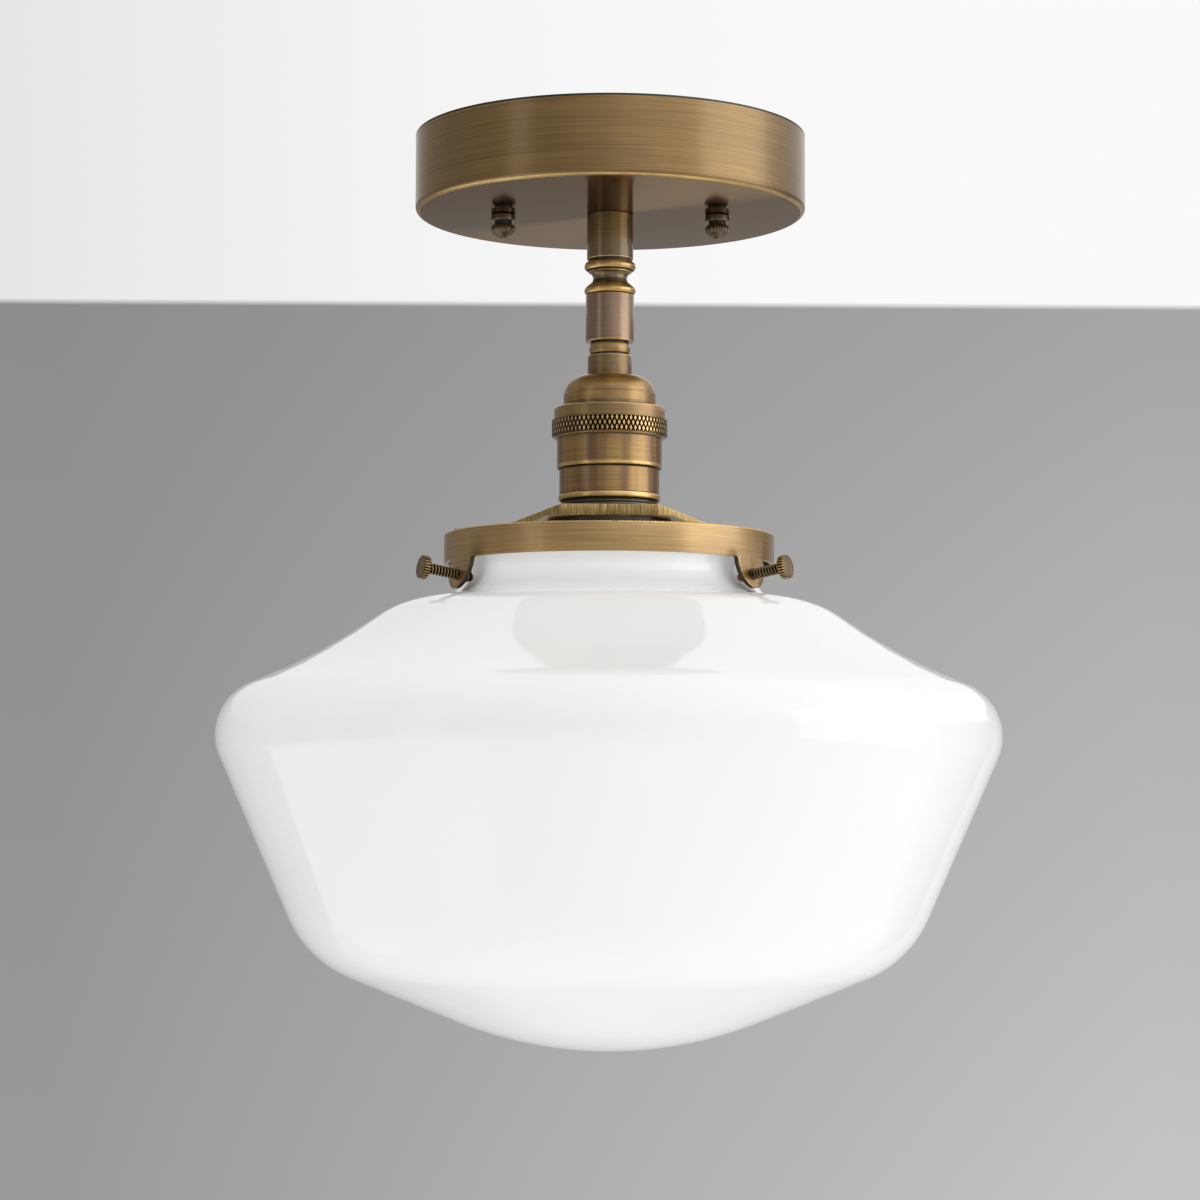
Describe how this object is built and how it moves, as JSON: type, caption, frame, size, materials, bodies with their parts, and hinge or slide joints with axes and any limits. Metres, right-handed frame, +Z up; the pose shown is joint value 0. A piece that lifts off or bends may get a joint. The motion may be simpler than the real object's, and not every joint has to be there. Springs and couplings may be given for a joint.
{
  "type": "semi flush ceiling light",
  "caption": "Round pan canopy, short turned stem and lamp socket that carry a closed, wide-shouldered opal globe in a fitter ring with thumb screws",
  "frame": {"origin": "middle of the crossbar's upper face, in the plane of the ceiling", "axes": "+Z up into the ceiling, +X along the crossbar and the row of canopy knobs, -Y the side in view"},
  "size_m": [0.2522, 0.2521, 0.296],
  "materials": {
    "aged_brass": "brushed brass under a brown antique lacquer",
    "dark_brass": "brushed brass under a darker antique lacquer",
    "bright_brass": "brushed warm brass, satin",
    "plain_brass": "bare stamped brass",
    "opal_glass": "cased white opal glass, glossy",
    "zinc_steel": "zinc plated steel",
    "nickel_plate": "nickel plated, satin",
    "green_paint": "green painted steel",
    "fibre_liner": "pressed fibre",
    "black_phenolic": "moulded phenolic",
    "frosted_glass": "white frosted glass",
    "bulb_aluminium": "rolled aluminium",
    "black_glass": "black glass insulator",
    "bulb_solder": "tinned contact"
  },
  "bodies": {
    "fixture": {"bridge_rivets": "bright_brass", "canopy": "aged_brass", "canopy_studs": "zinc_steel", "cap_insulator": "fibre_liner", "cap_ring": "aged_brass", "centre_contact": "plain_brass", "contact_rivet": "plain_brass", "crossbar": "zinc_steel", "fitter_ring": "bright_brass", "ground_screw": "green_paint", "hot_terminal": "plain_brass", "lock_washer": "zinc_steel", "neutral_terminal": "nickel_plate", "retaining_ring": "aged_brass", "screw_shell": "nickel_plate", "shade_bridge": "aged_brass", "shell_insulator": "fibre_liner", "shell_rivets": "plain_brass", "socket_cap": "aged_brass", "socket_collar": "dark_brass", "socket_core": "black_phenolic", "socket_shell": "aged_brass", "spacer_ring": "aged_brass", "stem_nut": "zinc_steel", "stem_sleeve": "dark_brass", "stem_tube": "dark_brass", "stud_lock_nuts": "zinc_steel", "terminal_screws": "plain_brass", "threaded_rod": "zinc_steel", "turned_neck": "aged_brass"},
    "knob_left": {"canopy_knob_left": "dark_brass"},
    "knob_right": {"canopy_knob_right": "dark_brass"},
    "bulb": {"bulb_glass": "frosted_glass", "bulb_base": "bulb_aluminium", "bulb_insulator": "black_glass", "bulb_contact": "bulb_solder"},
    "shade": {"glass_shade": "opal_glass"},
    "screw_right": {"thumb_screw_right": "bright_brass"},
    "screw_left": {"thumb_screw_left": "bright_brass"},
    "screw_back": {"thumb_screw_back": "bright_brass"}
  },
  "joints": [
    {"name": "shade_drop", "type": "slide", "parent": "fixture", "child": "shade", "axis": [0, 0, -1], "range_m": [0, 0.018]},
    {"name": "bulb_unscrew", "type": "slide", "parent": "fixture", "child": "bulb", "axis": [0, 0, -1], "range_m": [0, 0.028]},
    {"name": "knob_left_off", "type": "slide", "parent": "fixture", "child": "knob_left", "axis": [0, 0, -1], "range_m": [0, 0.01]},
    {"name": "knob_right_off", "type": "slide", "parent": "fixture", "child": "knob_right", "axis": [0, 0, -1], "range_m": [0, 0.01]},
    {"name": "screw_right_out", "type": "slide", "parent": "fixture", "child": "screw_right", "axis": [0.8283, -0.5379, 0.1564], "range_m": [0, 0.0045]},
    {"name": "screw_left_out", "type": "slide", "parent": "fixture", "child": "screw_left", "axis": [-0.88, -0.4484, 0.1564], "range_m": [0, 0.0045]},
    {"name": "screw_back_out", "type": "slide", "parent": "fixture", "child": "screw_back", "axis": [0.0517, 0.9863, 0.1564], "range_m": [0, 0.0045]}
  ],
  "couplings": [
    {"joint": "screw_right_out", "follows": "shade_drop", "ratio": 0.25},
    {"joint": "screw_left_out", "follows": "shade_drop", "ratio": 0.25},
    {"joint": "screw_back_out", "follows": "shade_drop", "ratio": 0.25}
  ]
}
